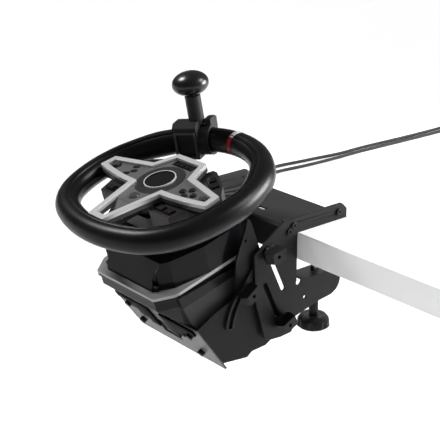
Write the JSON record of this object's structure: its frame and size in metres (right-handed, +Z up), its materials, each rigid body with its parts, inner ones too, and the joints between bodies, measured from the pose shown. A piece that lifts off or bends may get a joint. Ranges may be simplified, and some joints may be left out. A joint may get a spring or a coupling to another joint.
{
  "type": "racing wheel",
  "caption": "Desk-mounted racing wheel: flat-bottomed rim with buttons and spinner knob, geared wheel base, tilting cradle and screw-clamp bracket.",
  "frame": {"origin": "on the desk top, at the middle of the desk's front edge", "axes": "+Z up, +X to the driver's right, +Y away from the driver"},
  "size_m": [0.283, 0.9403, 0.3487],
  "materials": {
    "bracket_paint": "satin powder coat",
    "cradle_paint": "satin powder coat",
    "case_plastic": "fine texture",
    "cover_plastic": "gloss",
    "bright_steel": "turned",
    "dark_fastener": "black oxide",
    "pad_rubber": "matte",
    "knob_plastic": "satin",
    "grip_leather": "smooth stitched",
    "core_metal": "painted",
    "hub_plastic": "fine texture",
    "face_plastic": "satin",
    "satin_trim": "satin",
    "badge_chrome": "polished",
    "light_window": "gloss",
    "button_plastic": "gloss",
    "paddle_metal": "brushed",
    "clamp_plastic": "fine texture",
    "ball_plastic": "gloss",
    "pulley_plastic": "moulded",
    "belt_rubber": "matte",
    "board": "solder mask",
    "cord_jacket": "satin"
  },
  "bodies": {
    "bracket": {"top_plate": "bracket_paint", "side_plate_left": "bracket_paint", "side_plate_right": "bracket_paint", "frame_screws": "dark_fastener", "usb_cord": "cord_jacket", "usb_coil": "cord_jacket", "usb_plug": "cord_jacket", "power_cord": "cord_jacket", "power_coil": "cord_jacket", "power_plug": "cord_jacket"},
    "carriage": {"pivot_shaft": "bright_steel", "stay_left": "bracket_paint", "stay_right": "bracket_paint"},
    "cradle": {"cradle": "cradle_paint", "base_bolts": "dark_fastener", "base_case": "case_plastic", "base_cover": "cover_plastic", "motor": "bright_steel", "drive_belt": "belt_rubber", "bearings": "bright_steel", "control_board": "board"},
    "steering_wheel": {"steering_shaft": "bright_steel", "drive_pulley": "pulley_plastic", "rim_core": "core_metal", "rim_grip": "grip_leather", "hub_back": "hub_plastic", "hub_face": "face_plastic", "trim": "satin_trim", "badge": "badge_chrome", "rev_lights": "light_window", "spinner_clamp": "clamp_plastic", "spinner_strap": "clamp_plastic"},
    "motor_pulley": {"motor_pulley": "pulley_plastic"},
    "spinner_knob": {"spinner_knob": "ball_plastic"},
    "paddle_left": {"paddle_left": "paddle_metal"},
    "paddle_right": {"paddle_right": "paddle_metal"},
    "dpad": {"dpad": "button_plastic"},
    "option_upper": {"option_upper": "button_plastic"},
    "option_middle": {"option_middle": "button_plastic"},
    "option_lower": {"option_lower": "button_plastic"},
    "action_upper": {"action_upper": "button_plastic"},
    "action_left": {"action_left": "button_plastic"},
    "action_right": {"action_right": "button_plastic"},
    "action_lower": {"action_lower": "button_plastic"},
    "thumb_control": {"thumb_control": "button_plastic"},
    "mode_button": {"mode_button": "button_plastic"},
    "rocker_upper_left": {"rocker_upper_left": "button_plastic"},
    "rocker_upper_right": {"rocker_upper_right": "button_plastic"},
    "rocker_lower_left": {"rocker_lower_left": "button_plastic"},
    "rocker_lower_right": {"rocker_lower_right": "button_plastic"},
    "clamp_pad_left": {"clamp_pad_left": "pad_rubber"},
    "clamp_pad_right": {"clamp_pad_right": "pad_rubber"},
    "clamp_screw_left": {"clamp_screw_left": "dark_fastener"},
    "clamp_screw_right": {"clamp_screw_right": "dark_fastener"},
    "upper_knob_left": {"upper_knob_left": "knob_plastic"},
    "upper_knob_right": {"upper_knob_right": "knob_plastic"},
    "lower_knob_left": {"lower_knob_left": "knob_plastic"},
    "lower_knob_right": {"lower_knob_right": "knob_plastic"},
    "tilt_knob_left": {"tilt_knob_left": "knob_plastic"},
    "tilt_knob_right": {"tilt_knob_right": "knob_plastic"}
  },
  "joints": [
    {"name": "height_slide", "type": "slide", "parent": "bracket", "child": "carriage", "axis": [0, -0.41, 0.9121], "range_m": [-0.009, 0.007]},
    {"name": "cradle_tilt", "type": "hinge", "parent": "carriage", "child": "cradle", "pos_m": [0, -0.03, -0.114], "axis": [1, 0, 0], "range_deg": [0, 33]},
    {"name": "upper_knob_turn_left", "type": "hinge", "parent": "carriage", "child": "upper_knob_left", "pos_m": [-0.105, -0.0504, -0.0138], "axis": [-1, 0, 0], "range_deg": [0, 720]},
    {"name": "lower_knob_turn_left", "type": "hinge", "parent": "carriage", "child": "lower_knob_left", "pos_m": [-0.105, -0.03, -0.114], "axis": [-1, 0, 0], "range_deg": [0, 720]},
    {"name": "tilt_knob_turn_left", "type": "hinge", "parent": "cradle", "child": "tilt_knob_left", "pos_m": [-0.105, -0.0885, -0.057], "axis": [-1, 0, 0], "range_deg": [0, 720]},
    {"name": "upper_knob_turn_right", "type": "hinge", "parent": "carriage", "child": "upper_knob_right", "pos_m": [0.105, -0.0504, -0.0138], "axis": [1, 0, 0], "range_deg": [0, 720]},
    {"name": "lower_knob_turn_right", "type": "hinge", "parent": "carriage", "child": "lower_knob_right", "pos_m": [0.105, -0.03, -0.114], "axis": [1, 0, 0], "range_deg": [0, 720]},
    {"name": "tilt_knob_turn_right", "type": "hinge", "parent": "cradle", "child": "tilt_knob_right", "pos_m": [0.105, -0.0885, -0.057], "axis": [1, 0, 0], "range_deg": [0, 720]},
    {"name": "steering", "type": "hinge", "parent": "cradle", "child": "steering_wheel", "pos_m": [0, -0.138, 0.0666], "axis": [0, -0.2588, 0.9659], "range_deg": [-450, 450]},
    {"name": "motor_spin", "type": "hinge", "parent": "cradle", "child": "motor_pulley", "pos_m": [-0.045, -0.09535, -0.04621], "axis": [0, -0.2588, 0.9659], "range_deg": [-2058, 2058]},
    {"name": "spinner_turn", "type": "hinge", "parent": "steering_wheel", "child": "spinner_knob", "pos_m": [-0.06506, -0.04224, 0.17222], "axis": [-0.0664, -0.1382, 0.9882], "continuous": true},
    {"name": "paddle_pull_left", "type": "hinge", "parent": "steering_wheel", "child": "paddle_left", "pos_m": [-0.034, -0.12868, 0.03183], "axis": [0, 0.9659, 0.2588], "range_deg": [0, 4], "stiffness_Nm_per_rad": 4, "springref_deg": -2.86},
    {"name": "paddle_pull_right", "type": "hinge", "parent": "steering_wheel", "child": "paddle_right", "pos_m": [0.034, -0.12868, 0.03183], "axis": [0, -0.9659, -0.2588], "range_deg": [0, 4], "stiffness_Nm_per_rad": 4, "springref_deg": -2.86},
    {"name": "dpad_press", "type": "slide", "parent": "steering_wheel", "child": "dpad", "axis": [0, 0.2588, -0.9659], "range_m": [0, 0.001], "stiffness_N_per_m": 600, "springref_m": -0.0008},
    {"name": "option_upper_press", "type": "slide", "parent": "steering_wheel", "child": "option_upper", "axis": [0, 0.2588, -0.9659], "range_m": [0, 0.001], "stiffness_N_per_m": 600, "springref_m": -0.0008},
    {"name": "option_middle_press", "type": "slide", "parent": "steering_wheel", "child": "option_middle", "axis": [0, 0.2588, -0.9659], "range_m": [0, 0.001], "stiffness_N_per_m": 600, "springref_m": -0.0008},
    {"name": "option_lower_press", "type": "slide", "parent": "steering_wheel", "child": "option_lower", "axis": [0, 0.2588, -0.9659], "range_m": [0, 0.001], "stiffness_N_per_m": 600, "springref_m": -0.0008},
    {"name": "action_upper_press", "type": "slide", "parent": "steering_wheel", "child": "action_upper", "axis": [0, 0.2588, -0.9659], "range_m": [0, 0.001], "stiffness_N_per_m": 600, "springref_m": -0.0008},
    {"name": "action_left_press", "type": "slide", "parent": "steering_wheel", "child": "action_left", "axis": [0, 0.2588, -0.9659], "range_m": [0, 0.001], "stiffness_N_per_m": 600, "springref_m": -0.0008},
    {"name": "action_right_press", "type": "slide", "parent": "steering_wheel", "child": "action_right", "axis": [0, 0.2588, -0.9659], "range_m": [0, 0.001], "stiffness_N_per_m": 600, "springref_m": -0.0008},
    {"name": "action_lower_press", "type": "slide", "parent": "steering_wheel", "child": "action_lower", "axis": [0, 0.2588, -0.9659], "range_m": [0, 0.001], "stiffness_N_per_m": 600, "springref_m": -0.0008},
    {"name": "thumb_control_press", "type": "slide", "parent": "steering_wheel", "child": "thumb_control", "axis": [0, 0.2588, -0.9659], "range_m": [0, 0.001], "stiffness_N_per_m": 600, "springref_m": -0.0008},
    {"name": "mode_button_press", "type": "slide", "parent": "steering_wheel", "child": "mode_button", "axis": [0, 0.2588, -0.9659], "range_m": [0, 0.001], "stiffness_N_per_m": 600, "springref_m": -0.0008},
    {"name": "rocker_upper_left_tip", "type": "hinge", "parent": "steering_wheel", "child": "rocker_upper_left", "pos_m": [-0.056, -0.10346, 0.07679], "axis": [-0.4695, 0.8529, 0.2285], "range_deg": [-4, 4], "stiffness_Nm_per_rad": 0.6},
    {"name": "rocker_lower_left_tip", "type": "hinge", "parent": "steering_wheel", "child": "rocker_lower_left", "pos_m": [-0.052, -0.17397, 0.05789], "axis": [0, 0.9659, 0.2588], "range_deg": [-4, 4], "stiffness_Nm_per_rad": 0.6},
    {"name": "rocker_upper_right_tip", "type": "hinge", "parent": "steering_wheel", "child": "rocker_upper_right", "pos_m": [0.056, -0.10346, 0.07679], "axis": [0.4695, 0.8529, 0.2285], "range_deg": [-4, 4], "stiffness_Nm_per_rad": 0.6},
    {"name": "rocker_lower_right_tip", "type": "hinge", "parent": "steering_wheel", "child": "rocker_lower_right", "pos_m": [0.052, -0.17397, 0.05789], "axis": [0, 0.9659, 0.2588], "range_deg": [-4, 4], "stiffness_Nm_per_rad": 0.6},
    {"name": "pad_lift_left", "type": "slide", "parent": "bracket", "child": "clamp_pad_left", "axis": [0, 0, 1], "range_m": [-0.02, 0.02]},
    {"name": "screw_turn_left", "type": "hinge", "parent": "clamp_pad_left", "child": "clamp_screw_left", "pos_m": [-0.0835, 0.045, -0.1], "axis": [0, 0, 1], "range_deg": [-4801, 4801]},
    {"name": "pad_lift_right", "type": "slide", "parent": "bracket", "child": "clamp_pad_right", "axis": [0, 0, 1], "range_m": [-0.02, 0.02]},
    {"name": "screw_turn_right", "type": "hinge", "parent": "clamp_pad_right", "child": "clamp_screw_right", "pos_m": [0.0835, 0.045, -0.1], "axis": [0, 0, 1], "range_deg": [-4801, 4801]}
  ],
  "couplings": [
    {"joint": "motor_spin", "follows": "steering", "ratio": 4.5714},
    {"joint": "screw_turn_left", "follows": "pad_lift_left", "rad_per_m": 4188.8},
    {"joint": "screw_turn_right", "follows": "pad_lift_right", "rad_per_m": 4188.8}
  ]
}
